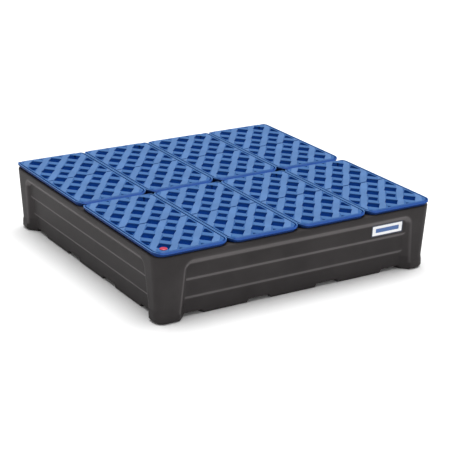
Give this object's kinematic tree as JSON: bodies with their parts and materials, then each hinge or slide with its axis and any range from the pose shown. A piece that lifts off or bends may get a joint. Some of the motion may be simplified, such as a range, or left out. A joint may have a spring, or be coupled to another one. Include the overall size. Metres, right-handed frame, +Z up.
{
  "type": "spill containment pallet",
  "caption": "Square polyethylene spill pallet: a drafted black tub that catches leaks under lift-out blue diamond-hole grates, with a float level indicator.",
  "frame": {"origin": "middle of the footprint on the floor under the feet", "axes": "+Z up, front (the labelled side) faces -Y, +X to the right of someone facing the front"},
  "size_m": [1.24, 1.24, 0.2894],
  "materials": {
    "sump_black": "moulded polyethylene, fine grain",
    "grate_blue": "moulded polyethylene, satin",
    "pillar_black": "moulded polyethylene",
    "label": "printed film, blank",
    "indicator_red": "moulded",
    "rod_steel": "drawn rod",
    "float_white": "closed foam"
  },
  "bodies": {
    "tub": {"sump": "sump_black", "pillar_1": "pillar_black", "pillar_2": "pillar_black", "pillar_3": "pillar_black", "pillar_4": "pillar_black", "pillar_5": "pillar_black", "pillar_6": "pillar_black", "pillar_7": "pillar_black", "pillar_8": "pillar_black", "pillar_9": "pillar_black", "label": "label"},
    "grate_1": {"grate_1": "grate_blue"},
    "grate_2": {"grate_2": "grate_blue"},
    "grate_3": {"grate_3": "grate_blue"},
    "grate_4": {"grate_4": "grate_blue"},
    "grate_5": {"grate_5": "grate_blue"},
    "grate_6": {"grate_6": "grate_blue"},
    "grate_7": {"grate_7": "grate_blue"},
    "grate_8": {"grate_8": "grate_blue"},
    "indicator": {"indicator_cap": "indicator_red", "indicator_rod": "rod_steel", "indicator_float": "float_white"}
  },
  "joints": [
    {"name": "grate_1_lift", "type": "slide", "parent": "tub", "child": "grate_1", "axis": [0, 0, 1], "range_m": [0, 0.3]},
    {"name": "grate_2_lift", "type": "slide", "parent": "tub", "child": "grate_2", "axis": [0, 0, 1], "range_m": [0, 0.3]},
    {"name": "grate_3_lift", "type": "slide", "parent": "tub", "child": "grate_3", "axis": [0, 0, 1], "range_m": [0, 0.3]},
    {"name": "grate_4_lift", "type": "slide", "parent": "tub", "child": "grate_4", "axis": [0, 0, 1], "range_m": [0, 0.3]},
    {"name": "grate_5_lift", "type": "slide", "parent": "tub", "child": "grate_5", "axis": [0, 0, 1], "range_m": [0, 0.3]},
    {"name": "grate_6_lift", "type": "slide", "parent": "tub", "child": "grate_6", "axis": [0, 0, 1], "range_m": [0, 0.3]},
    {"name": "grate_7_lift", "type": "slide", "parent": "tub", "child": "grate_7", "axis": [0, 0, 1], "range_m": [0, 0.3]},
    {"name": "grate_8_lift", "type": "slide", "parent": "tub", "child": "grate_8", "axis": [0, 0, 1], "range_m": [0, 0.3]},
    {"name": "indicator_rise", "type": "slide", "parent": "grate_1", "child": "indicator", "axis": [0, 0, 1], "range_m": [0, 0.06]}
  ]
}
